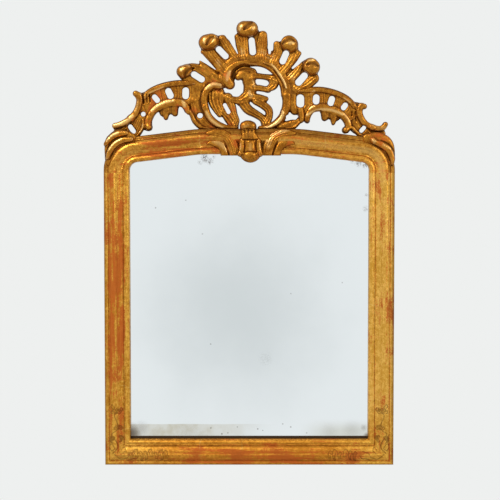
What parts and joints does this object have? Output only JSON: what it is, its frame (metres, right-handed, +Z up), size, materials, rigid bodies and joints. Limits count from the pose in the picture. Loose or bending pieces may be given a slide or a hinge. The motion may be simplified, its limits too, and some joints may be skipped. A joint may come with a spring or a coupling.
{
  "type": "wall mirror",
  "caption": "Rectangular wall mirror with a moulded gilded frame, cambered top rail and pierced, asymmetrical carved rocaille crest; old silvered glass, boarded back and turning hanger rings.",
  "frame": {"origin": "centre of the rear face of the middle back board, on the wall plane behind the centre of the glass", "axes": "+Z up, +Y into the wall, -Y out of the front of the mirror, +X to the right seen from the front"},
  "size_m": [0.5803, 0.051, 0.8804],
  "materials": {
    "gilded_wood": "worn water gilding over red bole",
    "hard_wood": "bare oak",
    "pine": "aged bare softwood",
    "iron": "dark aged iron",
    "brass": "dull aged brass",
    "mirror": "old silvered glass with spots",
    "tin": "dull tin layer"
  },
  "bodies": {
    "mirror": {"top_rail": "gilded_wood", "bottom_rail": "gilded_wood", "left_stile": "gilded_wood", "right_stile": "gilded_wood", "crest_fan": "gilded_wood", "left_spray": "gilded_wood", "right_spray": "gilded_wood", "left_wing": "gilded_wood", "right_wing": "gilded_wood", "cartouche": "gilded_wood", "left_cartouche_leaf": "gilded_wood", "right_cartouche_leaf": "gilded_wood", "left_corner_leaf": "gilded_wood", "right_corner_leaf": "gilded_wood", "left_corner_key": "hard_wood", "right_corner_key": "hard_wood", "joint_pegs": "hard_wood", "crest_dowels": "hard_wood", "glass_blocks": "pine", "lower_backboard": "pine", "middle_backboard": "pine", "upper_backboard": "pine", "backboard_nails": "iron", "hanger_screws": "iron", "mirror_glass": "mirror", "silvering": "tin", "left_hanger_strap": "brass", "right_hanger_strap": "brass"},
    "left_ring": {"left_hanger_ring": "brass"},
    "right_ring": {"right_hanger_ring": "brass"}
  },
  "joints": [
    {"name": "left_ring_swing", "type": "hinge", "parent": "mirror", "child": "left_ring", "pos_m": [-0.269, -0.00332, 0.15], "axis": [1, 0, 0], "range_deg": [0, 180]},
    {"name": "right_ring_swing", "type": "hinge", "parent": "mirror", "child": "right_ring", "pos_m": [0.269, -0.00332, 0.15], "axis": [1, 0, 0], "range_deg": [0, 180]}
  ]
}
